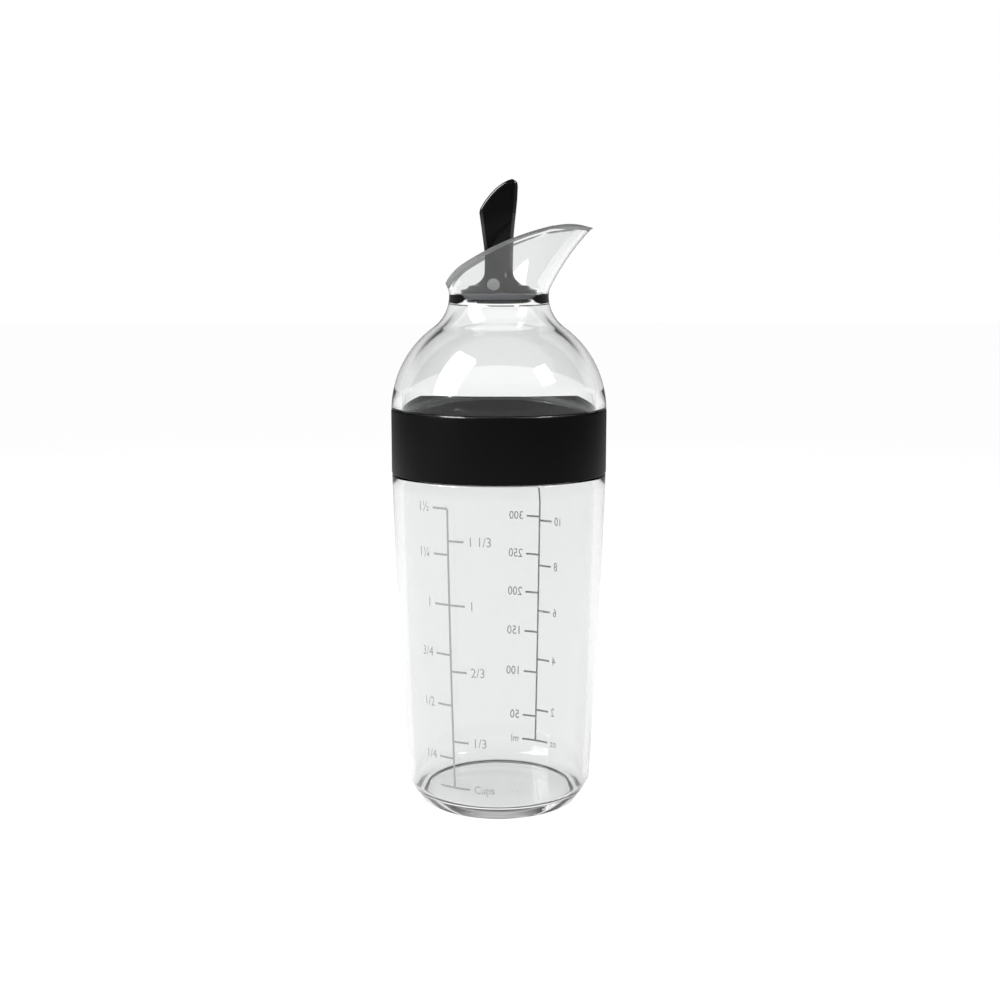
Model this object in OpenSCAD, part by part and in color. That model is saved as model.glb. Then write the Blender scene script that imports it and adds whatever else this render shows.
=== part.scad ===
// Shaker bottle for salad dressing: a clear cup with a screw-on clear lid.
// The lid has a black grip collar, a trimmed funnel spout and a lever that
// tilts a round stopper out of its seat in the neck.
// Origin: centre of the foot, on the table. +Z up, +X toward the pouring lip.

/* [Cup] */
// Height of the shoulder under the collar
body_h = 118.7; // [90:0.1:150]
// Outer radius of the wall at the shoulder
body_r = 38; // [36:0.1:42]
// Outer radius of the wall where it meets the heel
base_r = 33.1; // [31:0.1:36]
// How far the wall swells past a straight taper at mid height
bulge = 0.5; // [0.2:0.05:1.2]
// Height of the sloping heel
heel_h = 7; // [4:0.1:10]
// Radius of the ring that the cup stands on
foot_r = 28.8; // [25:0.1:30]
// Width of that ring
foot_w = 2.8; // [1.5:0.1:5]
// Depth of the recess under the floor
recess_h = 0.9; // [0.3:0.1:2]
// Height of the floor inside the cup
floor_z = 4.2; // [3:0.1:8]
// Thickness of the wall at the heel
wall_t = 2.3; // [1.6:0.1:3.5]
// Radius between floor and wall, inside
floor_fillet = 3.4; // [1:0.1:6]

/* [Cup mouth] */
// Height of the neck that the lid screws onto
finish_h = 20.2; // [15:0.1:25]
// How far that neck stands back from the shoulder, without its thread
finish_step = 2.3; // [2.1:0.1:3.5]
// Thickness of that neck
finish_t = 1.7; // [1.2:0.1:2.5]

/* [Collar and gasket] */
// Height of the black collar
collar_h = 22.5; // [19.5:0.1:30]
// Thickness of the collar
collar_t = 1.3; // [0.9:0.05:1.6]
// How far the collar stands proud of the cup
collar_proud = 0.1; // [0:0.05:0.5]
// Gap between the collar and the shoulder of the cup
collar_gap = 0.3; // [0.2:0.05:1]
// Rounding of the collar's outer edges
collar_edge = 0.45; // [0.1:0.05:0.6]
// Thickness of the sealing ring on the rim of the cup
gasket_t = 1.3; // [0.8:0.1:2]

/* [Dome] */
// Radius of the dome's arc
dome_r = 36; // [34:0.5:37]
// How far the centre of the arc lies below the top of the collar
dome_drop = 0.7; // [0:0.1:3]
// Thickness of the dome
dome_t = 2.9; // [2:0.1:3.5]
// Radius of the hollow curve between dome and neck
neck_fillet = 13.4; // [9:0.1:18]

/* [Neck and seat] */
// Outer radius of the neck
neck_r = 17.45; // [17:0.05:19]
// Straight height of the neck between dome and spout
neck_land = 0.3; // [0.1:0.1:3]
// Height of the seat's ledge above the start of the spout
ledge_rise = 0.6; // [0.3:0.1:2]
// Radius of the seat at the ledge
seat_r = 13.85; // [13:0.05:14.2]
// Height of the ring of material that holds the seat
seat_h = 4.6; // [4:0.1:7]

/* [Spout] */
// Thickness of the spout's wall
spout_t = 1.7; // [1.2:0.1:1.9]
// Radius of the curve out of the neck
flare_r = 6.25; // [5:0.25:9]
// Slope of the spout above that curve, in degrees from upright
flare_a = 26.5; // [22:0.5:30]
// Radius of the long curve of the spout
spout_r = 81; // [60:1:120]
// Sweep of the long curve, in degrees
spout_a = 16.5; // [12:0.5:20]
// Radius of the turned-out lip
lip_r = 4; // [3:0.25:6]
// Sweep of the turned-out lip, in degrees
lip_a = 27; // [15:1:35]
// Height of the spout's low back edge above the ledge
back_h = 3.6; // [3:0.1:6]

/* [Lever] */
// Distance of the pivot behind the bottle's axis
pivot_back = 1.8; // [1.2:0.1:2.5]
// Radius of the pivot stubs
stub_r = 2.1; // [1.5:0.1:2.2]
// Radius of the round ends of the lever's arms
eye_r = 3; // [2.7:0.1:3.4]
// Thickness of the arms at the pivot
arm_t = 1.55; // [1.2:0.05:1.6]
// Height of the lever above the pivot
lever_h = 35.5; // [28:0.5:40]
// Half width of the lever's head, across the bottle
head_y = 7; // [5.5:0.25:8]
// Half width of the lever's waist, across the bottle
waist_y = 4.7; // [4:0.1:5.5]
// Rounding of the lever's edges
lever_edge = 1.4; // [0.8:0.1:2]
// How far the lever's slanted top falls from its peak to its tip
head_fall = 9.9; // [7:0.1:12]
// How far the tip reaches back from the bottle's axis
tip_reach = 5.35; // [4.5:0.05:7]
// How far the peak reaches forward of the bottle's axis
peak_reach = 5.05; // [4:0.05:7]
// Bow of the slanted top
head_bow = 1.7; // [1:0.1:2.5]
// Height of the waist's straight sides
waist_h = 6; // [4:0.1:8]
// Height above the pivot at which an arm starts to lean inward
arm_bend = 1.9; // [1:0.1:3]
// Height over which an arm leans in to the waist
arm_lean = 8; // [6:0.1:10]

/* [Stopper] */
// Radius of the stopper's top disc
flange_r = 13.3; // [12.5:0.05:13.4]
// Thickness of the top disc
flange_t = 1.6; // [1.2:0.1:2.5]
// Radius of the column under the lever
column_r = 4.9; // [4.4:0.1:5.4]
// Radius of the curve between column and disc
bell_r = 5.5; // [3.5:0.1:5.8]
// Thickness of the silicone seal
seal_t = 2.3; // [1.6:0.1:2.6]
// Gap between the seal and its seat
seal_gap = 0.15; // [0.1:0.05:0.3]
// Radius of the hole in the seal
seal_bore = 9; // [7:0.1:10.5]
// Radius of the disc that holds the seal from below
retainer_r = 11.8; // [11.2:0.1:12]
// Thickness of that disc
retainer_t = 1.7; // [1.2:0.1:2]

/* [Hidden] */
$fn = 96;
// Largest gap between a curve and the straight steps that stand for it
step_tol = 0.02;
// Running clearance of the pivot, on the radius
run_gap = 0.05;
// Clearance between two pieces that are fixed to each other
fit_gap = 0.05;
// Clearance between pieces that pass each other
pass_gap = 0.3;
// Overlap of cutting shapes past the faces they cut
cut = 1;

rim_z = body_h + finish_h;
finish_r = body_r - finish_step;
mouth_r = finish_r - finish_t;
collar_z0 = body_h + collar_gap;
collar_z1 = collar_z0 + collar_h;
collar_r = body_r + collar_proud;
collar_bore = collar_r - collar_t;
gasket_z1 = rim_z + gasket_t;

dome_cx = body_r - sqrt(dome_r * dome_r - dome_drop * dome_drop);
dome_cz = collar_z1 - dome_drop;
fillet_cx = neck_r + neck_fillet;
fillet_cz = dome_cz + sqrt(pow(dome_r + neck_fillet, 2) - pow(fillet_cx - dome_cx, 2));
// Slope, from level, of the line between the two centres
tangent_a = atan2(fillet_cz - dome_cz, fillet_cx - dome_cx);
flare_z = fillet_cz + neck_land;
ledge_z = flare_z + ledge_rise;
bowl_r = neck_r - spout_t;
throat_r = neck_r - dome_t;

pivot_z = ledge_z + eye_r + pass_gap;
seat_ball = norm([seat_r, pivot_z - ledge_z]);
seal_ball = seat_ball - seal_gap;
seal_z = ledge_z - seal_t;
retainer_z = seal_z - retainer_t;
seat_z0 = seal_z - 0.2;
seat_low_r = ball_r(seat_ball, seat_z0);
hub_r = seal_bore - fit_gap;
hub_socket_r = 3.9;
hub_h = 4.5;
arm_y0 = flange_r + run_gap + 0.1;
arm_y1 = arm_y0 + arm_t;
stub_y = flange_r + pass_gap;
crown_z = ledge_z + flange_t;
crown_h = 1.4;
bell_cx = column_r + bell_r;
bell_cz = crown_z + crown_h + bell_r;
column_z = bell_cz + 1;
post_r = 3;
post_h = 4;

// Radius, at height z, of a ball centred on the axis at the pivot's height
function ball_r(ball, z) = sqrt(ball * ball - pow(z - pivot_z, 2));

// Number of straight steps for an arc
function arc_n(r, sweep) =
    max(2, ceil(abs(sweep) / (2 * acos(1 - step_tol / max(r, 0.1)))));

// Points of an arc about [cx, cz], from angle a0 to a1
function arc(cx, cz, r, a0, a1) =
    let (n = arc_n(r, a1 - a0))
    [for (i = [0:n]) let (a = a0 + (a1 - a0) * i / n) [cx + r * cos(a), cz + r * sin(a)]];

// Points of a chord that swells by b at its middle
function swell(p, q, b, n = 6) =
    [for (i = [0:n]) let (t = i / n) p + (q - p) * t + [4 * b * t * (1 - t), 0]];

// The spout's section: three arcs that follow on from each other, shifted
// inward by t. Angles are the slope from upright.
function spout_side(t) =
    let (
        a1 = flare_a,
        a2 = flare_a + spout_a,
        a3 = flare_a + spout_a + lip_a,
        c1 = [neck_r + flare_r, flare_z],
        c2 = c1 + (spout_r - flare_r) * [cos(a1), -sin(a1)],
        c3 = c2 + (lip_r - spout_r) * [cos(a2), -sin(a2)]
    )
    concat(
        arc(c1[0], c1[1], flare_r + t, 180, 180 - a1),
        arc(c2[0], c2[1], spout_r + t, 180 - a1, 180 - a2),
        arc(c3[0], c3[1], lip_r + t, 180 - a2, 180 - a3)
    );

// The line that trims the spout, seen from the side: from the low back edge
// it climbs on a tight arc, then a long one, and dips over the lip.
trim_x = -18.5;
trim_a = 58;
trim_arcs = [[19.7, 26.5], [101.7, 19], [26.6, 20]];

function trim_walk(p, a, arcs, k = 0) =
    k == len(arcs) ? [p, p + 20 * [cos(a), sin(a)]] :
    let (
        r = arcs[k][0],
        s = arcs[k][1],
        c = p + r * [sin(a), -cos(a)],
        pts = arc(c[0], c[1], r, 90 + a, 90 + a - s)
    )
    concat(pts, trim_walk(pts[len(pts) - 1], a - s, arcs, k + 1));

module cup_profile() {
    inner_low = [base_r - wall_t, floor_z + floor_fillet];
    inner_high = [mouth_r, body_h - heel_h];
    outer = swell([base_r, heel_h], [body_r, body_h], bulge);
    inner = swell(inner_low, inner_high, bulge / 2);
    polygon(concat(
        [[0, recess_h], [foot_r - foot_w - recess_h, recess_h], [foot_r - foot_w, 0], [foot_r, 0]],
        [[foot_r + (base_r - foot_r) * 0.4, heel_h * 0.36]],
        outer,
        [[finish_r, body_h], [finish_r, rim_z - 0.4], [finish_r - 0.4, rim_z], [mouth_r, rim_z]],
        [for (i = [len(inner) - 1:-1:0]) inner[i]],
        arc(inner_low[0] - floor_fillet, inner_low[1], floor_fillet, 0, -90),
        [[0, floor_z]]
    ));
}

module cup() {
    color("whitesmoke", 0.4) rotate_extrude() cup_profile();
}

module lid_gasket() {
    color("gray") translate([0, 0, rim_z]) difference() {
        cylinder(h = gasket_t, r = finish_r);
        translate([0, 0, -cut]) cylinder(h = gasket_t + 2 * cut, r = mouth_r + 0.2);
    }
}

module grip_collar() {
    e = collar_edge;
    color("black") rotate_extrude() polygon(concat(
        [[collar_bore, collar_z0]],
        arc(collar_r - e, collar_z0 + e, e, -90, 0),
        arc(collar_r - e, collar_z1 - e, e, 0, 90),
        [[collar_bore, collar_z1]]
    ));
}

// Dome, neck and spout are one clear moulding
module lid_profile() {
    spigot_r = collar_bore - fit_gap;
    inner_r = mouth_r + 0.4;
    dome_in = dome_r - dome_t;
    fillet_in = neck_fillet + dome_t;
    skirt_z = dome_cz + sqrt(dome_in * dome_in - pow(inner_r - dome_cx, 2));
    skirt_a = atan2(skirt_z - dome_cz, inner_r - dome_cx);
    ring_z = ledge_z - seat_h;
    throat_a = 180 + asin(max(-1, min(1, (fillet_cz - ring_z) / fillet_in)));
    spout_in = spout_side(spout_t);
    seat_a0 = atan2(seat_z0 - pivot_z, seat_low_r);
    seat_a1 = atan2(ledge_z - pivot_z, seat_r);
    polygon(concat(
        [[spigot_r, gasket_z1], [spigot_r, collar_z1]],
        arc(dome_cx, dome_cz, dome_r, asin(dome_drop / dome_r), tangent_a),
        arc(fillet_cx, fillet_cz, neck_fillet, 180 + tangent_a, 180),
        spout_side(0),
        [for (i = [len(spout_in) - 1:-1:1]) spout_in[i]],
        [[bowl_r, ledge_z]],
        arc(0, pivot_z, seat_ball, seat_a1, seat_a0),
        [[seat_low_r, ring_z]],
        arc(fillet_cx, fillet_cz, fillet_in, throat_a, 180 + tangent_a),
        arc(dome_cx, dome_cz, dome_in, tangent_a, skirt_a),
        [[inner_r, gasket_z1]]
    ));
}

module spout_trim() {
    start = [trim_x, ledge_z + back_h];
    line = trim_walk(start, trim_a, trim_arcs);
    low = start - 5 * [cos(trim_a), sin(trim_a)];
    top = ledge_z + 60;
    translate([0, 60, 0]) rotate([90, 0, 0]) linear_extrude(120)
        polygon(concat([low], line, [[60, top], [-60, top], [-60, low[1]]]));
}

module pivot_stub(side) {
    reach = neck_r + 1;
    difference() {
        translate([-pivot_back, side * stub_y, pivot_z]) rotate([-90 * side, 0, 0])
            cylinder(h = reach - stub_y, r = stub_r);
        // nothing of the stub stands outside the spout
        difference() {
            translate([0, 0, pivot_z - 4]) cylinder(h = 8, r = reach + 4);
            rotate_extrude() spout_core();
        }
    }
}

// Section of the space inside the spout's middle surface
module spout_core() {
    side = spout_side(spout_t / 2);
    polygon(concat([[0, flare_z]], side, [[0, side[len(side) - 1][1]]]));
}

module lid_dome() {
    color("whitesmoke", 0.4) union() {
        difference() {
            rotate_extrude() lid_profile();
            spout_trim();
        }
        for (side = [-1, 1]) pivot_stub(side);
    }
}

// Head of the lever: a paddle with a slanted, slightly bowed top
module lever_head() {
    top = pivot_z + lever_h;
    e = lever_edge;
    peak = [peak_reach, top - e];
    tip = [-tip_reach, peak[1] - head_fall];
    bow = 4 * head_bow * 0.7;
    hull() {
        for (side = [-1, 1]) {
            for (t = [0:0.2:1])
                translate([
                    tip[0] + (peak[0] - tip[0]) * t - bow * t * (1 - t),
                    side * (head_y - e),
                    tip[1] + (peak[1] - tip[1]) * t + bow * t * (1 - t)
                ]) sphere(r = e, $fn = 24);
            for (x = [-column_r + e, column_r - e])
                translate([x, side * (waist_y - e), column_z])
                    cylinder(h = waist_h, r = e, $fn = 24);
        }
    }
}

module lever_arm(side) {
    x0 = -pivot_back - eye_r;
    bend_z = pivot_z + arm_bend;
    root_h = waist_h - 1;
    hull() {
        translate([x0, side > 0 ? arm_y0 : -arm_y1, bend_z - arm_t / 2])
            cube([2 * eye_r, arm_t, arm_t / 2]);
        translate([x0, side > 0 ? waist_y - arm_t : -waist_y, bend_z + arm_lean])
            cube([2 * eye_r, arm_t, root_h]);
    }
    translate([x0, side > 0 ? arm_y0 : -arm_y1, pivot_z])
        cube([2 * eye_r, arm_t, bend_z - pivot_z]);
    translate([-pivot_back, side * arm_y0, pivot_z]) rotate([-90 * side, 0, 0])
        cylinder(h = arm_t, r = eye_r);
}

module flip_lever() {
    color("#161616") difference() {
        union() {
            lever_head();
            for (side = [-1, 1]) lever_arm(side);
            translate([0, 0, column_z - post_h]) cylinder(h = post_h + 1, r = post_r);
        }
        translate([-pivot_back, -arm_y1 - cut, pivot_z]) rotate([-90, 0, 0])
            cylinder(h = 2 * (arm_y1 + cut), r = stub_r + run_gap);
    }
}

// Top disc, bell and column, in one moulding
module stopper_cap() {
    e = 0.4;
    color("#1c1c1c") difference() {
        rotate_extrude() polygon(concat(
            [[0, ledge_z], [flange_r - e, ledge_z], [flange_r, ledge_z + e]],
            arc(flange_r - e, crown_z - e, e, 0, 90),
            arc(bell_cx, bell_cz, bell_r, -90, -180),
            [[column_r, column_z], [0, column_z]]
        ));
        translate([0, 0, column_z - post_h - fit_gap])
            cylinder(h = post_h + cut, r = post_r + fit_gap);
        translate([0, 0, ledge_z - cut])
            cylinder(h = hub_h + fit_gap + cut, r = hub_socket_r);
    }
}

module stopper_seal() {
    a0 = atan2(seal_z - pivot_z, ball_r(seal_ball, seal_z));
    a1 = atan2(ledge_z - pivot_z, ball_r(seal_ball, ledge_z));
    color("#6e7275") rotate_extrude() polygon(concat(
        [[seal_bore, seal_z]],
        arc(0, pivot_z, seal_ball, a0, a1),
        [[seal_bore, ledge_z]]
    ));
}

module stopper_retainer() {
    e = 0.5;
    color("#1c1c1c") {
        rotate_extrude() polygon([
            [0, retainer_z], [retainer_r - e, retainer_z], [retainer_r, retainer_z + e],
            [retainer_r, seal_z], [hub_r, seal_z], [hub_r, ledge_z],
            [hub_socket_r - fit_gap, ledge_z], [hub_socket_r - fit_gap, ledge_z + hub_h],
            [0, ledge_z + hub_h]
        ]);
    }
}

cup();
lid_gasket();
lid_dome();
grip_collar();
flip_lever();
stopper_cap();
stopper_seal();
stopper_retainer();
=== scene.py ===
import bmesh
import bpy
import math
from mathutils import Matrix, Vector


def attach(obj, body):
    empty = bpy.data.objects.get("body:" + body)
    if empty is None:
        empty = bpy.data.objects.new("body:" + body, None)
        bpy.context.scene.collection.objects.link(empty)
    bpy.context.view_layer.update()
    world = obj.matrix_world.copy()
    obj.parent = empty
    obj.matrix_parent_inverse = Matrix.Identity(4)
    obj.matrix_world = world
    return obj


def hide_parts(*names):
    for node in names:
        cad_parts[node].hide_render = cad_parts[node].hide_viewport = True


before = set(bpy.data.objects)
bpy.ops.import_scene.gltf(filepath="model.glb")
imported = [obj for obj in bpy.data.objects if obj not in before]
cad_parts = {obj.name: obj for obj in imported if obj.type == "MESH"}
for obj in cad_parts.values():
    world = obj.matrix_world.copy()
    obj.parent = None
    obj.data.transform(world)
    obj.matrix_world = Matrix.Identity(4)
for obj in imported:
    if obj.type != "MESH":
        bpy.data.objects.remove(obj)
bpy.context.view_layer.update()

# Cup: one clear moulding that tapers down to a sloping heel, with a thick
# floor, a standing ring and a neck that carries the thread. It is polished
# clear plastic.

MM = 0.001
WELD = 1e-7


class Wire:
    """A node's output socket, so that shader maths reads as Python."""

    def __init__(self, tree, socket):
        self.tree, self.socket = tree, socket

    def node(self, kind, settings=None, **inputs):
        """Adds a node with its settings, then the values or links of its sockets. _0 is the first socket."""
        made = self.tree.nodes.new(kind)
        for name, value in (settings or {}).items():
            if name == "stops":
                ramp = made.color_ramp
                while len(ramp.elements) < len(value):
                    ramp.elements.new(0.5)
                for element, (place, grey) in zip(ramp.elements, value):
                    element.position, element.color = place, (grey, grey, grey, 1)
            else:
                setattr(made, name, value)
        for name, value in inputs.items():
            socket = made.inputs[int(name[1:])] if name[0] == "_" else made.inputs[name.replace("_", " ")]
            if isinstance(value, Wire):
                self.tree.links.new(value.socket, socket)
            else:
                socket.default_value = value
        return Wire(self.tree, made.outputs[0])

    def maths(self, operation, other):
        return self.node("ShaderNodeMath", {"operation": operation}, _0=self, _1=other)

    def __add__(self, other):
        return self.maths("ADD", other)

    def __mul__(self, other):
        return self.maths("MULTIPLY", other)

    def __sub__(self, other):
        return self.maths("SUBTRACT", other)

    def __rsub__(self, other):
        return self.node("ShaderNodeMath", {"operation": "SUBTRACT"}, _0=other, _1=self)

    __radd__ = __add__
    __rmul__ = __mul__


def finish_of(name, base, worn, rough, rough_swing, grain, grain_depth, **constants):
    """A moulded finish: cloudy change of colour and gloss, fine scuffs and a grain in the surface."""
    cloud_scale, scuff_scale, scuff_stops = 55.0, 320.0, [(0.6, 0.0), (0.72, 1.0)]
    cloud_share, scuff_share, grain_height = 0.6, 0.25, 0.0001
    material = bpy.data.materials.new(name)
    material.use_nodes = True
    tree = material.node_tree
    shader = tree.nodes["Principled BSDF"]
    wire = Wire(tree, tree.nodes.new("ShaderNodeTexCoord").outputs["Object"])
    cloud = wire.node("ShaderNodeTexNoise", Vector=wire, Scale=cloud_scale, Detail=3.0, Roughness=0.55)
    fine = wire.node("ShaderNodeTexNoise", Vector=wire, Scale=grain, Detail=2.0, Roughness=0.6)
    scuff = wire.node("ShaderNodeTexNoise", Vector=wire, Scale=scuff_scale, Detail=6.0, Roughness=0.7, Distortion=1.4)
    rubbed = wire.node("ShaderNodeValToRGB", {"stops": scuff_stops}, Fac=scuff)
    mixed = tree.nodes.new("ShaderNodeMix")
    mixed.data_type = "RGBA"
    mixed.inputs[6].default_value = (*base, 1)
    mixed.inputs[7].default_value = (*worn, 1)
    tree.links.new((cloud * cloud_share + rubbed * scuff_share).socket, mixed.inputs[0])
    tree.links.new(mixed.outputs[2], shader.inputs["Base Color"])
    tree.links.new((rough + cloud * rough_swing + rubbed * rough_swing).socket, shader.inputs["Roughness"])
    bump = wire.node("ShaderNodeBump", Strength=grain_depth, Distance=grain_height, Height=fine)
    tree.links.new(bump.socket, shader.inputs["Normal"])
    for socket, value in constants.items():
        shader.inputs[socket.replace("_", " ")].default_value = value
    return material


def turned(rows, turns=192, weld=True):
    """A body of revolution about the bottle's axis, from a closed section of (radius, height) in mm."""
    bm = bmesh.new()
    points = [bm.verts.new((r * MM, 0, z * MM)) for r, z in rows]
    edges = [bm.edges.new((a, b)) for a, b in zip(points, points[1:])]
    if rows[0][0] > 0:
        edges.append(bm.edges.new((points[-1], points[0])))
    bmesh.ops.spin(bm, geom=points + edges, cent=(0, 0, 0), axis=(0, 0, 1), dvec=(0, 0, 0),
                   angle=math.tau, steps=turns, use_merge=True, use_duplicate=False)
    if weld:
        bmesh.ops.remove_doubles(bm, verts=bm.verts, dist=WELD)
    return bm


def piece(name, bm, material, body, slot, *nodes, smooth=35):
    """Ends a mesh: faces out, smooth where it curves, and tied to its body and finish; the CAD nodes it replaces are
    hidden.
    """
    bmesh.ops.recalc_face_normals(bm, faces=bm.faces)
    mesh = bpy.data.meshes.new(name)
    bm.to_mesh(mesh)
    bm.free()
    mesh.polygons.foreach_set("use_smooth", [True] * len(mesh.polygons))
    mesh.set_sharp_from_angle(angle=math.radians(smooth))
    made = bpy.data.objects.new(name, mesh)
    bpy.context.scene.collection.objects.link(made)
    made.data.materials.append(material)
    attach(made, body)
    if nodes:
        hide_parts(*nodes)
    return made


def arc(cx, cz, r, a0, a1, n=12):
    """Points on an arc, from angle a0 to a1 in degrees."""
    return [(cx + r * math.cos(math.radians(a0 + (a1 - a0) * i / n)),
             cz + r * math.sin(math.radians(a0 + (a1 - a0) * i / n))) for i in range(n + 1)]


def swell(p, q, bulge, n=24):
    """Points of a wall that bows by bulge at its middle."""
    return [(p[0] + (q[0] - p[0]) * t + 4 * bulge * t * (1 - t), p[1] + (q[1] - p[1]) * t)
            for t in (i / n for i in range(n + 1))]


# Sizes in mm: the body, the foot and floor, and the neck.
body_h, body_r, body_edge, body_bow = 118.7, 38.0, 0.5, 0.5
base_r, heel_h, heel_bend = 33.1, 7.0, [(30.3, 2.5), (30.7, 2.95)]
foot_in, foot_r, foot_edge, recess = 26.0, 28.8, 0.3, 0.9
floor_z, floor_bend, wall, inner_bow = 4.2, 3.4, 2.3, 0.25
neck_out, neck_in, rim_z = 35.7, 34.0, 138.9
neck_root, rim_out, rim_in = 0.2, 0.4, 0.3

inner_low = (base_r - wall, floor_z + floor_bend)
foot = [(foot_in - recess, recess), (foot_in, foot_edge / 2), (foot_in + foot_edge, 0), (foot_r - foot_edge, 0),
        (foot_r, 0.2)]
outer_wall = swell((base_r, heel_h), (body_r, body_h - body_edge), body_bow)
shoulder = arc(body_r - body_edge, body_h - body_edge, body_edge, 30, 90, 3)
neck = [(neck_out + neck_root, body_h), (neck_out, body_h + neck_root), (neck_out, rim_z - rim_out),
        (neck_out - rim_out, rim_z), (neck_in + rim_in, rim_z), (neck_in, rim_z - rim_in)]
inner_wall = swell(inner_low, (neck_in, body_h - heel_h), inner_bow)[::-1]
floor_curve = arc(inner_low[0] - floor_bend, inner_low[1], floor_bend, 0, -90)[1:]
clear_cup = finish_of("clear_cup", (0.85, 0.855, 0.855), (0.83, 0.835, 0.835), 0.0, 0.02, 900.0, 0.002,
                      Transmission_Weight=1.0, IOR=1.5)
piece("cup", turned([(0, recess)] + foot + heel_bend + outer_wall + shoulder + neck + inner_wall + floor_curve
                    + [(0, floor_z)]),
      clear_cup, "cup", "clear_cup", "cup")

# Screw thread on the cup's neck: two rounded ribs, half a turn apart, that
# are moulded with the cup and hidden by the collar once the lid is on.

thread_starts, thread_turn, thread_sweep, thread_rise = 2, math.pi * 0.1, math.pi * 0.92, 8.0
cup_thread_z, cup_rib = 123.4, 1.0


def thread(name, r, z0, start, rib, way, material, body, slot):
    """A rib that climbs round a wall of radius r: a small section spun along a helix, its crest tapered at both
    ends. It stands outward where way is 1, and inward, in a bore, where way is -1."""
    steps, taper, root, crest = 72, 8, 0.15, 0.55 * rib
    section = [(-root, -0.8 * rib), (crest, -0.45 * rib), (crest, 0.2 * rib), (-root, 0.8 * rib)]
    bm = bmesh.new()
    corners = [bm.verts.new(((r + way * out) * MM, 0, (z0 + up) * MM)) for out, up in section]
    face = bm.faces.new(corners)
    bmesh.ops.rotate(bm, verts=corners, matrix=Matrix.Rotation(start, 3, "Z"))
    bmesh.ops.spin(bm, geom=corners + face.edges[:] + [face], cent=(0, 0, 0), axis=(0, 0, 1),
                   dvec=(0, 0, thread_rise / steps * MM), angle=thread_sweep, steps=steps, use_merge=False,
                   use_duplicate=False)
    for k, v in enumerate(bm.verts):
        t = k // len(section) / steps
        radius = math.hypot(v.co.x, v.co.y) / MM
        if way * (radius - r) > 0:
            v.co.xy *= (r + way * crest * min(1.0, taper * t, taper * (1 - t)) ** 0.5) / radius
    return piece(name, bm, material, body, slot, smooth=60)


for i in range(thread_starts):
    thread(f"cup_thread_{i + 1}", neck_out, cup_thread_z, math.pi * i + thread_turn, cup_rib, 1,
           clear_cup, "cup", "clear_cup")

# Printed scales: cups with quarter and third ticks on the front, millilitres
# and ounces on the back. They are thin grey ink on the outside of the wall.

ink = finish_of("scale_ink", (0.22, 0.225, 0.225), (0.3, 0.305, 0.305), 0.5, 0.15, 2500.0, 0.15)
faint_ink = finish_of("scale_ink_back", (0.46, 0.465, 0.465), (0.52, 0.52, 0.52), 0.5, 0.15, 2500.0, 0.15)


def wall_r(z):
    """Outer radius of the wall at a height, in mm."""
    t = (z - heel_h) / (body_h - body_edge - heel_h)
    return base_r + (body_r - base_r) * t + 4 * body_bow * t * (1 - t)


def cut_across(bm, place, normal):
    """Cuts flat artwork along a line, so that it can bend there."""
    bmesh.ops.bisect_plane(bm, geom=bm.verts[:] + bm.edges[:] + bm.faces[:], plane_co=place, plane_no=normal)


def on_wall(bm, middle):
    """Wraps flat artwork, in mm along and up the wall, round the cup at an azimuth, and gives it its thickness."""
    half_width, lowest, highest, row = 16, 12, 116, 4
    ink_out, ink_thick = 0.02, 0.05
    bmesh.ops.triangulate(bm, faces=bm.faces)
    for k in range(-half_width, half_width + 1):
        cut_across(bm, (k, 0, 0), (1, 0, 0))
    for k in range(lowest, highest, row):
        cut_across(bm, (0, k, 0), (0, 1, 0))
    for v in bm.verts:
        along, up = v.co.x, v.co.y
        turn = middle + along / wall_r(up)
        radius = (wall_r(up) + ink_out) * MM
        v.co = (radius * math.sin(turn), -radius * math.cos(turn), up * MM)
    bmesh.ops.recalc_face_normals(bm, faces=bm.faces)
    bmesh.ops.solidify(bm, geom=bm.faces, thickness=-ink_thick * MM)


def bar(bm, x0, y0, x1, y1):
    """A straight mark between two corners, in mm."""
    corners = [bm.verts.new(c) for c in ((x0, y0, 0), (x1, y0, 0), (x1, y1, 0), (x0, y1, 0))]
    bm.faces.new(corners)


def lettering(bm, words, x, y, height, side):
    """Adds words at a place on the flat artwork. side is -1 to end at x, and 1 to start there."""
    size_over_height, narrowing = 1.35, 0.85
    curve = bpy.data.curves.new(words, "FONT")
    curve.body, curve.align_y = words, "CENTER"
    curve.align_x = "LEFT" if side > 0 else "RIGHT"
    curve.size, curve.resolution_u = height * size_over_height, 3
    shown = bpy.data.objects.new(words, curve)
    bpy.context.scene.collection.objects.link(shown)
    mesh = bpy.data.meshes.new_from_object(shown.evaluated_get(bpy.context.evaluated_depsgraph_get()))
    mesh.transform(Matrix.Translation((x, y, 0)) @ Matrix.Diagonal((narrowing, 1, 1, 1)))
    bm.from_mesh(mesh)
    bpy.data.objects.remove(shown)
    bpy.data.meshes.remove(mesh)
    bpy.data.curves.remove(curve)


def scale(name, middle, base, top, left, right, unit_left, unit_right, material):
    """One scale: the long line, its ticks with their numbers on both sides, and the unit beside its foot."""
    line, tick, gap, number_h, unit_h = 0.75, 5.8, 1.4, 3.5, 3.0
    bm = bmesh.new()
    bar(bm, -line / 2, base, line / 2, top)
    bar(bm, -tick, base - line / 2, tick, base + line / 2)
    for side, marks in ((-1, left), (1, right)):
        for words, z in marks:
            bar(bm, min(0, side * tick), z - line / 2, max(0, side * tick), z + line / 2)
            lettering(bm, words, side * (tick + gap), z, number_h, side)
    if unit_left:
        lettering(bm, unit_left, -tick - gap, base, unit_h, -1)
    lettering(bm, unit_right, tick + gap, base, unit_h, 1)
    on_wall(bm, middle)
    return piece(name, bm, material, "cup", "clear_cup", smooth=30)


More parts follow.
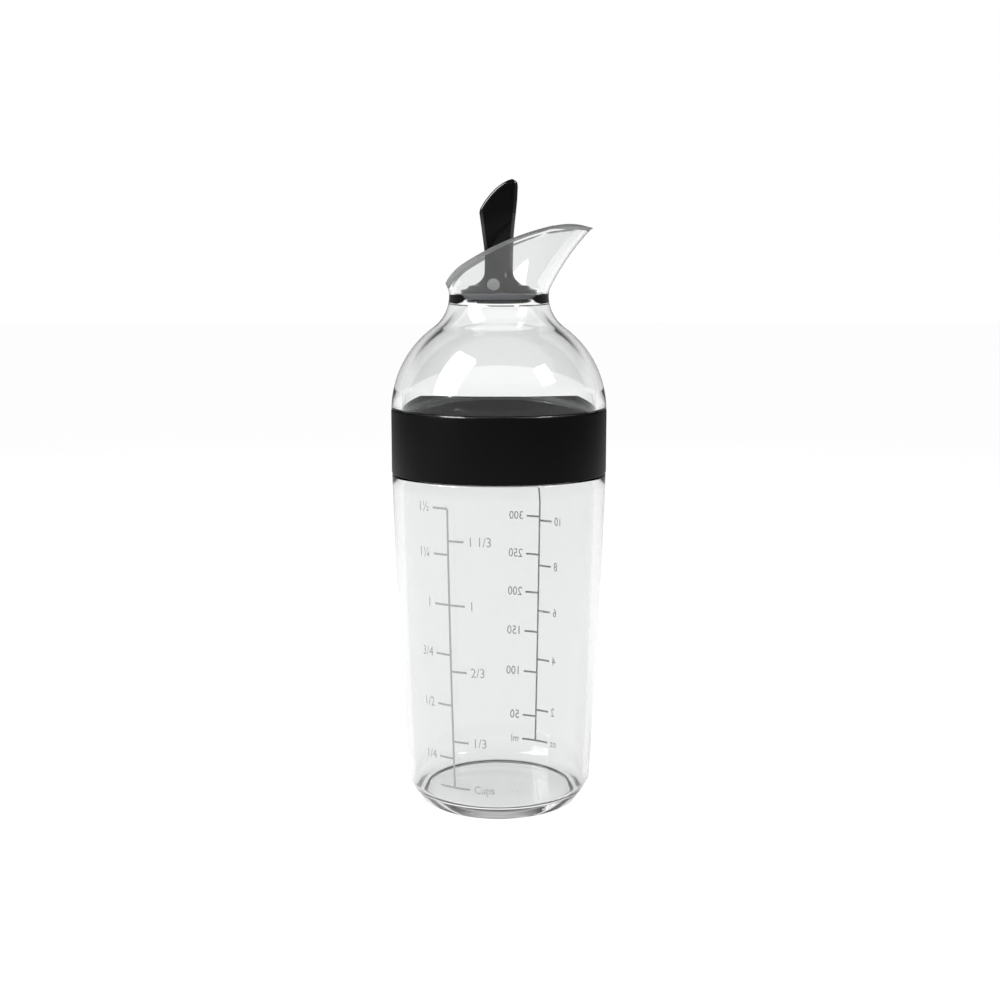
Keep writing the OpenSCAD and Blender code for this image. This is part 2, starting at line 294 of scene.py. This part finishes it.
cup_scale_turn, metric_scale_turn = -0.4755, math.pi - 0.466
scale("cup_scale", cup_scale_turn, 11.9, 110.8,
      [("1½", 110.8), ("1¼", 95.0), ("1", 77.6), ("3/4", 60.0), ("1/2", 41.9), ("1/4", 22.6)],
      [("1 1/3", 99.8), ("1", 77.6), ("2/3", 54.2), ("1/3", 28.9)], "", "Cups", ink)
scale("metric_scale", metric_scale_turn, 10.2, 112.0,
      [("10", 96.1), ("8", 78.7), ("6", 61.1), ("4", 42.2), ("2", 22.3)],
      [("300", 97.6), ("250", 82.9), ("200", 68.1), ("150", 52.8), ("100", 37.0), ("50", 19.7)],
      "oz", "ml", faint_ink)

# Gasket: a soft, translucent silicone ring that lies on the rim of the cup
# and is squeezed by the lid. It stands off both by a skin of air, so that
# no two faces share a plane.

silicone = finish_of("clear_silicone", (0.2, 0.225, 0.22), (0.26, 0.28, 0.275), 0.3, 0.1, 1400.0, 0.03,
                     Transmission_Weight=0.5, IOR=1.41)
gasket_in, gasket_out, gasket_top, skin = 34.5, 35.4, 140.2, 0.04
bead_z, bead_r, bore_r, bore_low, bore_high = 139.55, 0.3, 34.25, 139.2, 139.9
piece("lid_gasket", turned([(gasket_in, rim_z + skin), (gasket_out, rim_z + skin)]
                           + arc(gasket_out, bead_z, bead_r, -60, 60, 5)
                           + [(gasket_out, gasket_top - skin), (gasket_in, gasket_top - skin),
                              (bore_r, bore_high), (bore_r, bore_low)]),
      silicone, "lid_gasket", "clear_silicone", "lid_gasket")

# Lid: dome, neck and funnel spout are one clear moulding. The funnel is cut
# off on a curve that is low at the back and sweeps up over the lip. Its rim
# is grey and half clear, a painted reflection for light turned back inside it.

dome_c, dome_r, dome_t = (2.00681, 140.8), 36.0, 2.9
hollow_c, hollow_r = (30.85, 180.905), 13.4
tangent, collar_top, ledge_z, pivot_z, flare_z = 54.28, 141.5, 181.805, 185.105, 181.205
seat_ball, seat_r, seat_low_z, neck_r, spout_t = 14.2377, 15.75, 179.305, 17.45, 1.7
throat_r, throat_drop = 13.0, 4.6
lid_foot_r, lid_foot_in, lid_shoulder_r, dome_from = 36.75, 34.4, 37.6, 1.6
# Radius and sweep of each arc: of the funnel's section, and of the cut.
funnel_arcs = ((6.25, 26.5), (81.0, 16.5), (4.0, 27.0))
trim_start, trim_slope, trim_arcs = (-18.5, ledge_z + 3.6), 58.0, ((19.7, 26.5), (101.7, 19.0), (26.6, 20.0))


def funnel(t, n=22):
    """The funnel's section, shifted inward by t: three arcs that follow on, as (radius, height)."""
    slope, place, rows = 0.0, (neck_r + funnel_arcs[0][0], flare_z), []
    for k, (r, sweep) in enumerate(funnel_arcs):
        if k:
            gap, lean = r - last, math.radians(slope)
            place = (place[0] + gap * math.cos(lean), place[1] - gap * math.sin(lean))
        points = arc(place[0], place[1], r + t, 180 - slope, 180 - slope - sweep, n if k == 1 else n // 2)
        rows += points[1 if k else 0:]
        slope, last = slope + sweep, r
    return rows


def trim_line():
    """The curve that cuts the funnel, seen from the side, as (x, height), with a straight run beyond each end."""
    run_in, run_out = 5, 20
    (x, z), a, rows = trim_start, trim_slope, []
    for r, sweep in trim_arcs:
        lean = math.radians(a)
        rows += arc(x + r * math.sin(lean), z - r * math.cos(lean), r, 90 + a, 90 + a - sweep, 20)
        (x, z), a = rows[-1], a - sweep
    first, last = math.radians(trim_slope), math.radians(a)
    return ([(rows[0][0] - run_in * math.cos(first), rows[0][1] - run_in * math.sin(first))] + rows
            + [(x + run_out * math.cos(last), z + run_out * math.sin(last))])


trim = trim_line()


def trim_z(x):
    """Height of that cut at x."""
    for (x0, z0), (x1, z1) in zip(trim, trim[1:]):
        if x <= x1:
            return z0 + (z1 - z0) * (x - x0) / max(x1 - x0, 1e-6)
    return trim[-1][1]


def cut_share(side, turn):
    """How far along a funnel section the cut crosses it, at an angle round the axis, as a count of rows."""
    for i in range(1, len(side)):
        (r0, z0), (r1, z1) = side[i - 1], side[i]
        g0, g1 = z0 - trim_z(r0 * math.cos(turn)), z1 - trim_z(r1 * math.cos(turn))
        if g1 >= 0:
            return i - 1 + max(0.0, -g0 / max(g1 - g0, 1e-9))
    return len(side) - 1.0


def along(side, share):
    """The point of a section at a share of its rows."""
    i = min(int(share), len(side) - 2)
    f = share - i
    return (side[i][0] + (side[i + 1][0] - side[i][0]) * f, side[i][1] + (side[i + 1][1] - side[i][1]) * f)


def even(side, step):
    """The same section with its points a fixed step apart."""
    rows, left = [side[0]], step
    for a, b in zip(side, side[1:]):
        a, span = Vector(a), (Vector(b) - Vector(a)).length
        while left <= span:
            rows.append(tuple(a + (Vector(b) - a) * left / span))
            left += step
        left -= span
    return rows


# The outer section from the foot to the root of the funnel, and the inner one
# back down from the seat. Both are fixed; the funnel's rows between them slide.
below_out = ([(lid_foot_r, gasket_top), (lid_foot_r, collar_top - 0.05), (lid_shoulder_r, collar_top)]
             + arc(dome_c[0], dome_c[1], dome_r, dome_from, tangent, 26)
             + arc(hollow_c[0], hollow_c[1], hollow_r, 180 + tangent, 180, 20)[1:])
dome_in, hollow_out = dome_r - dome_t, hollow_r + dome_t
skirt = math.degrees(math.acos((lid_foot_in - dome_c[0]) / dome_in))
throat_z = ledge_z - throat_drop
throat = 180 + math.degrees(math.asin((hollow_c[1] - throat_z) / hollow_out))
below_in = ([(seat_r, ledge_z)]
            + arc(0, pivot_z, seat_ball, math.degrees(math.asin((ledge_z - pivot_z) / seat_ball)),
                  math.degrees(math.asin((seat_low_z - pivot_z) / seat_ball)), 6)
            + [(throat_r, throat_z + 0.2), (throat_r + 0.2, throat_z)]
            + arc(hollow_c[0], hollow_c[1], hollow_out, throat, 180 + tangent, 18)
            + arc(dome_c[0], dome_c[1], dome_in, tangent, skirt, 26)[1:] + [(lid_foot_in, gasket_top)])

# Rows up the funnel, how far the last of them stay below its rim in mm, and
# where the rows across the rim lie between its outer and inner edge.
rows_up, lip_rows, rim_shares = 30, (1.9, 1.4, 0.9, 0.5, 0.15), (0.12, 0.37, 0.63, 0.88)
row_step, stagger = 0.25, 0.0001
outer_side, inner_side = even(funnel(0), row_step), even(funnel(spout_t), row_step)
profile = (below_out + [(neck_r + 0.1, flare_z)] * rows_up + [(neck_r, flare_z)] * len(rim_shares)
           + [(seat_r, flare_z)] * rows_up + below_in)
bm = turned([(r, z + stagger * k) for k, (r, z) in enumerate(profile)], turns=256, weld=False)
first_up = len(below_out)
first_rim = first_up + rows_up
first_down = first_rim + len(rim_shares)
plain_rows = rows_up - len(lip_rows)
row_of = {v: k % len(profile) for k, v in enumerate(bm.verts)}
for v, row in row_of.items():
    turn = math.atan2(v.co.y, v.co.x)
    r, z = profile[row]
    if first_up <= row < first_down + rows_up:
        out_end, in_end = cut_share(outer_side, turn), cut_share(inner_side, turn)
        up, down = row - first_up, row - first_down
        if up < plain_rows:
            r, z = along(outer_side, (out_end - lip_rows[0] / row_step) * (up + 1) / (plain_rows + 1))
        elif row < first_rim:
            r, z = along(outer_side, out_end - lip_rows[up - plain_rows] / row_step)
        elif row < first_down:
            a, b = along(outer_side, out_end), along(inner_side, in_end)
            f = rim_shares[row - first_rim]
            r, z = a[0] + (b[0] - a[0]) * f, a[1] + (b[1] - a[1]) * f
        else:
            r, z = along(inner_side, (in_end - lip_rows[-1] / row_step) * (1 - down / rows_up))
    v.co = (r * math.cos(turn) * MM, r * math.sin(turn) * MM, z * MM)
clear_lid = finish_of("clear_lid", (0.96, 0.965, 0.965), (0.94, 0.945, 0.945), 0.0, 0.02, 900.0, 0.002,
                      Transmission_Weight=1.0, IOR=1.5)
# The rim and the rows just under it take the second finish, the painted reflection.
for f in bm.faces:
    if all(first_rim - len(lip_rows) <= row_of[v] <= first_down for v in f.verts):
        f.material_index = 1
bmesh.ops.remove_doubles(bm, verts=bm.verts, dist=WELD)
lid = piece("lid_dome", bm, clear_lid, "lid", "clear_lid", "lid_dome", smooth=40)
# Second finish: grey and half clear, a painted reflection of the light that the clear rim turns back inside.
lid.data.materials.append(finish_of("rim_painted_reflection", (0.19, 0.195, 0.195), (0.27, 0.275, 0.275), 0.25, 0.2, 700.0, 0.25,
                                    Transmission_Weight=0.35, IOR=1.5))

# Pivot stubs: two short clear pins, moulded inside the spout, that the eyes
# of the lever snap over.

stub_clear = finish_of("stub_clear", (0.78, 0.785, 0.785), (0.7, 0.705, 0.705), 0.1, 0.1, 1500.0, 0.1,
                       Transmission_Weight=0.7, IOR=1.5)
pivot_x, stub_r, stub_y, stub_reach, stub_edge = -1.8, 2.1, 13.6, 2.35, 0.3
for side in (-1, 1):
    bm = bmesh.new()
    bmesh.ops.create_cone(bm, cap_ends=True, segments=48, radius1=stub_r * MM, radius2=stub_r * MM,
                          depth=stub_reach * MM)
    tip = [e for e in bm.edges if abs(e.verts[0].co.z - e.verts[1].co.z) < 1e-9 and side * e.verts[0].co.z < 0]
    bmesh.ops.bevel(bm, geom=tip, offset=stub_edge * MM, affect="EDGES", segments=3, profile=0.5, material=-1)
    bmesh.ops.rotate(bm, verts=bm.verts, matrix=Matrix.Rotation(-math.pi / 2, 3, "X"))
    bmesh.ops.translate(bm, verts=bm.verts,
                        vec=(pivot_x * MM, side * (stub_y + stub_reach / 2) * MM, pivot_z * MM))
    piece(f"pivot_stub_{'left' if side > 0 else 'right'}", bm, stub_clear, "lid", "clear_lid")

# Grip collar: a satin black ring with the lid's thread inside. It is pressed
# over the foot of the dome and turns with it.

collar_black = finish_of("collar_black", (0.0025, 0.0025, 0.003), (0.005, 0.005, 0.0055), 0.3, 0.1, 2600.0, 0.06,
                         IOR=1.5, Specular_IOR_Level=0.06)
collar_r, collar_bore, collar_low, collar_mid = 38.1, 36.8, 119.0, 130.0
collar_edge, bore_edge = 0.45, 0.2
collar_thread_z, collar_rib = 121.6, 0.7
piece("grip_collar", turned([(collar_bore + bore_edge, collar_low), (collar_r - collar_edge, collar_low)]
                            + arc(collar_r - collar_edge, collar_low + collar_edge, collar_edge, -80, 0, 6)
                            + [(collar_r, collar_mid)]
                            + arc(collar_r - collar_edge, collar_top - collar_edge, collar_edge, 0, 90, 6)
                            + [(collar_bore, collar_top), (collar_bore, collar_low + bore_edge)]),
      collar_black, "lid", "collar_black", "grip_collar")
for i in range(thread_starts):
    thread(f"collar_thread_{i + 1}", collar_bore, collar_thread_z, math.pi * i + thread_turn, collar_rib, -1,
           collar_black, "lid", "collar_black")

# Flip lever: a glossy black paddle with a slanted, bowed top, a narrow waist
# and two arms whose eyes turn on the stubs. It is one hard moulding.

lever_black = finish_of("lever_black", (0.002, 0.002, 0.0025), (0.004, 0.004, 0.0045), 0.08, 0.08, 1800.0, 0.06,
                        IOR=1.52, Specular_IOR_Level=0.12)
waist_y, head_y, widen_from, widen_over = 4.7, 7.0, 197.0, 15.0
lever_edge = 1.5
# Side view of the head in (x, height): up the back, over the top and down the front.
head_out = [(-4.85, 190.3), (-4.9, 195.0), (-5.16, 197.6), (-6.0, 204.0), (-6.73, 209.2), (-6.4, 210.6), (-5.03, 212.9),
            (-3.05, 215.4), (-1.07, 217.4), (0.9, 218.9), (2.9, 220.0), (4.5, 220.5), (5.6, 220.2), (6.3, 219.3),
            (6.5, 218.0), (6.3, 213.5), (5.9, 209.5), (5.53, 206.0), (5.1, 201.3), (4.9, 196.0), (4.85, 190.3)]


def slab(outline, widths, round_mm, segments):
    """A piece cut from a side outline in (x, z) mm, with its half width given by height, its edges rounded."""
    bm = bmesh.new()
    face = bm.faces.new([bm.verts.new((x * MM, -MM, z * MM)) for x, z in outline])
    grown = bmesh.ops.extrude_face_region(bm, geom=[face])
    for v in grown["geom"]:
        if isinstance(v, bmesh.types.BMVert):
            v.co.y = MM
    for v in bm.verts:
        v.co.y *= widths(v.co.z / MM)
    bmesh.ops.recalc_face_normals(bm, faces=bm.faces)
    sharp = [e for e in bm.edges if len(e.link_faces) == 2 and e.calc_face_angle(0) > math.radians(35)]
    rounded = bmesh.ops.bevel(bm, geom=sharp, offset=round_mm * MM, affect="EDGES", segments=segments, profile=0.5,
                              material=-1, clamp_overlap=True)
    for f in rounded["faces"]:
        f.material_index = 1
    return bm


def head_width(z):
    """Half width of the head across the bottle: narrow at the waist, wide at the top."""
    t = min(1.0, max(0.0, (z - widen_from) / widen_over))
    return waist_y + (head_y - waist_y) * t * t * (3 - 2 * t)


head = piece("flip_lever", slab(head_out, head_width, lever_edge, 6), lever_black, "stopper", "lever_black",
             "flip_lever", smooth=50)
head.data.materials.append(finish_of("lever_edge_polish", (0.002, 0.002, 0.0025), (0.005, 0.005, 0.0055), 0.04, 0.05,
                                     1800.0, 0.04, IOR=1.52, Specular_IOR_Level=0.6))

# Arms of the lever: flat straps of the same moulding, one each side, with a
# round eye at the foot. They hang past the stopper and lean in to the waist.

eye_r, eye_bore, arm_t, arm_rows = 3, 2.15, 1.55, (187.0, 191.0, 196.0)
lean_over, eye_y, root_y = 8.0, (13.45, 15.0), (3.1, 4.65)
for side in (-1, 1):
    bm = bmesh.new()
    eye = [(pivot_x + eye_r * math.cos(a), pivot_z + eye_r * math.sin(a))
           for a in (math.pi + math.pi * i / 28 for i in range(29))]
    bore = [(pivot_x + eye_bore * math.cos(a), pivot_z + eye_bore * math.sin(a))
            for a in (math.tau * i / 56 for i in range(56))]
    strap = [(pivot_x + eye_r, z) for z in arm_rows] + [(pivot_x - eye_r, z) for z in arm_rows[::-1]]
    loop = [bm.verts.new((x * MM, 0, z * MM)) for x, z in eye + strap]
    hole = [bm.verts.new((x * MM, 0, z * MM)) for x, z in bore]
    edges = [bm.edges.new((a, b)) for ring in (loop, hole) for a, b in zip(ring, ring[1:] + ring[:1])]
    bmesh.ops.triangle_fill(bm, edges=edges, use_beauty=True)
    bmesh.ops.solidify(bm, geom=list(bm.faces), thickness=arm_t * MM)
    low = min(v.co.y for v in bm.verts)
    for v in bm.verts:
        lean = min(1.0, max(0.0, (v.co.z / MM - arm_rows[0]) / lean_over))
        depth = (v.co.y - low) / (arm_t * MM)
        inner, outer = (foot_y + (top_y - foot_y) * lean for foot_y, top_y in zip(eye_y, root_y))
        v.co.y = side * (inner + (outer - inner) * depth) * MM
    piece(f"lever_arm_{'left' if side > 0 else 'right'}", bm, lever_black, "stopper", "lever_black", smooth=40)

# Stopper cap: a black disc with a hollow curve up to the lever's column. The
# lever's post is pressed into it.

stopper_black = finish_of("stopper_black", (0.003, 0.003, 0.0035), (0.006, 0.006, 0.0065), 0.12, 0.1, 1800.0, 0.08,
                          IOR=1.5, Specular_IOR_Level=0.15)
flange_r, flange_edge, column_r, crown_z, column_z = 13.3, 0.4, 4.9, 183.405, 191.305
bell_r, bell_lift, crown_step = 5.5, 1.4, (11.6, 0.35)
piece("stopper_cap", turned([(0, ledge_z), (flange_r - flange_edge, ledge_z), (flange_r, ledge_z + flange_edge)]
                            + arc(flange_r - flange_edge, crown_z - flange_edge, flange_edge, 0, 90, 5)
                            + [(crown_step[0], crown_z + crown_step[1])]
                            + arc(column_r + bell_r, crown_z + bell_lift + bell_r, bell_r, -90, -180, 20)
                            + [(column_r, column_z), (0, column_z)], turns=128),
      stopper_black, "stopper", "stopper_black", "stopper_cap")

# Seal: a grey silicone ring, held between the cap and the retainer, whose
# rounded edge closes on the seat in the neck.

seal_grey = finish_of("seal_grey", (0.19, 0.195, 0.21), (0.25, 0.255, 0.265), 0.42, 0.12, 2000.0, 0.3, IOR=1.41)
seal_in, seal_z, seal_ball = 9.0, 179.505, 14.0877
piece("stopper_seal", turned([(seal_in, seal_z)]
                             + arc(0, pivot_z, seal_ball, math.degrees(math.asin((seal_z - pivot_z) / seal_ball)),
                                   math.degrees(math.asin((ledge_z - pivot_z) / seal_ball)), 8)
                             + [(seal_in, ledge_z)], turns=160),
      seal_grey, "stopper", "seal_grey", "stopper_seal")

# Retainer: a black disc that snaps up through the seal into the cap, and
# holds the seal from below.

retainer_r, retainer_z, retainer_edge, spigot_r = 11.8, 177.805, 0.5, 8.95
piece("stopper_retainer", turned([(0, retainer_z), (retainer_r - retainer_edge, retainer_z)]
                                 + arc(retainer_r - retainer_edge, retainer_z + retainer_edge, retainer_edge, -80, 0, 5)
                                 + [(retainer_r, seal_z), (spigot_r, seal_z), (spigot_r, ledge_z), (0, ledge_z)],
                                 turns=128),
      stopper_black, "stopper", "stopper_black", "stopper_retainer")

# Floor: a pale sheet that keeps the shadow, with painted shade that makes it
# grow darker far from the bottle. The camera and clear plastic see most of it
# as white, and mirror rays see a fifth of that white.

floor_size, floor_drop, floor_white = 6.0, 0.0002, 1.12
floor_seen = {"Is Camera Ray": 0.87, "Is Glossy Ray": 0.2, "Is Transmission Ray": 0.92}
floor_bm = bmesh.new()
bmesh.ops.create_grid(floor_bm, x_segments=1, y_segments=1, size=floor_size)
floor_mesh = bpy.data.meshes.new("floor")
floor_bm.to_mesh(floor_mesh)
floor_bm.free()
floor = bpy.data.objects.new("floor", floor_mesh)
bpy.context.scene.collection.objects.link(floor)
floor.location.z = -floor_drop
floor_look = bpy.data.materials.new("floor")
floor_look.use_nodes = True
tree = floor_look.node_tree
shader = tree.nodes["Principled BSDF"]
wire = Wire(tree, tree.nodes.new("ShaderNodeTexCoord").outputs["Object"])
paper = wire.node("ShaderNodeTexNoise", Vector=wire, Scale=40.0, Detail=2.0)
tree.links.new((paper * 0.04 + 0.86).socket, shader.inputs["Roughness"])
shader.inputs["Specular IOR Level"].default_value = 0.0
shrunk = wire.node("ShaderNodeMapping", {"vector_type": "POINT"}, Vector=wire, Scale=(0.7, 0.7, 0.7))
nearness = wire.node("ShaderNodeTexGradient", {"gradient_type": "SPHERICAL"}, Vector=shrunk)
# Painted shade: the floor's colour is pale near the bottle and dark far from it, standing in for light falling off.
floor_painted_falloff = wire.node("ShaderNodeValToRGB", {"stops": [(0.15, 0.12), (0.8, 0.93)]}, Fac=nearness)
tree.links.new(floor_painted_falloff.socket, shader.inputs["Base Color"])
rays = tree.nodes.new("ShaderNodeLightPath")
camera, mirrored, through = (Wire(tree, rays.outputs[kind]) * share for kind, share in floor_seen.items())
glow = tree.nodes.new("ShaderNodeEmission")
glow.inputs["Strength"].default_value = floor_white
blend = tree.nodes.new("ShaderNodeMixShader")
tree.links.new((camera + mirrored + through).socket, blend.inputs[0])
tree.links.new(shader.outputs[0], blend.inputs[1])
tree.links.new(glow.outputs[0], blend.inputs[2])
tree.links.new(blend.outputs[0], tree.nodes["Material Output"].inputs["Surface"])
floor.data.materials.append(floor_look)

# Surround: white to the camera, and to clear plastic up to a greyer ceiling,
# which draws the dark strips in the dome. Mirror rays see a fifth of it.

ceiling_from, ceiling_to, ceiling_grey = 0.22, 0.44, 0.32
through_white, mirrored_white, plain_white = 1.08, 0.2, 0.36
world = bpy.data.worlds.new("studio")
bpy.context.scene.world = world
world.use_nodes = True
tree = world.node_tree
back = tree.nodes["Background"]
wire = Wire(tree, tree.nodes.new("ShaderNodeTexCoord").outputs["Generated"])
split = tree.nodes.new("ShaderNodeSeparateXYZ")
tree.links.new(wire.socket, split.inputs[0])
height = Wire(tree, split.outputs[2])
ceiling = wire.node("ShaderNodeMapRange", {"interpolation_type": "SMOOTHSTEP"}, Value=height,
                    From_Min=ceiling_from, From_Max=ceiling_to, To_Min=1.0, To_Max=ceiling_grey)
rays = tree.nodes.new("ShaderNodeLightPath")
camera, mirrored, through = (Wire(tree, rays.outputs[kind]) for kind in floor_seen)
plain = 1 - camera - mirrored - through
strength = (camera + through * ceiling * through_white + mirrored * ceiling * mirrored_white + plain * plain_white)
tree.links.new(strength.socket, back.inputs["Strength"])
back.inputs["Color"].default_value = (1, 1, 1, 1)

# Soft boxes: two rectangular lamps in front, high on the left and right. They
# make the two white patches on the dome.


def soft_box(name, place, width, tall, power):
    """A rectangular lamp that faces the middle of the bottle."""
    middle = Vector((0, 0, 0.15))
    lamp = bpy.data.lights.new(name, "AREA")
    lamp.shape, lamp.size, lamp.size_y, lamp.energy = "RECTANGLE", width, tall, power
    shown = bpy.data.objects.new(name, lamp)
    shown.location = place
    shown.rotation_euler = (middle - Vector(place)).to_track_quat("-Z", "Y").to_euler()
    bpy.context.scene.collection.objects.link(shown)


soft_box("left_box", (-1.0, -0.5, 1.02), 0.62, 1.15, 32.0)
soft_box("right_box", (1.05, -0.56, 1.06), 0.36, 0.5, 10.0)

# Camera: a 50 mm lens half a metre in front, at the height of the stopper,
# that looks slightly down.

camera_y, camera_z, camera_dip = -0.4916, 0.1856, 0.1555
lens = bpy.data.cameras.new("camera")
lens.lens, lens.sensor_width, lens.shift_x = 50.0, 36.0, 0.0011
lens.clip_start = 0.01
viewer = bpy.data.objects.new("camera", lens)
viewer.location = (0, camera_y, camera_z)
viewer.rotation_euler = (math.pi / 2 - camera_dip, 0, 0)
bpy.context.scene.collection.objects.link(viewer)
bpy.context.scene.camera = viewer
bpy.context.scene.view_settings.view_transform = "Standard"
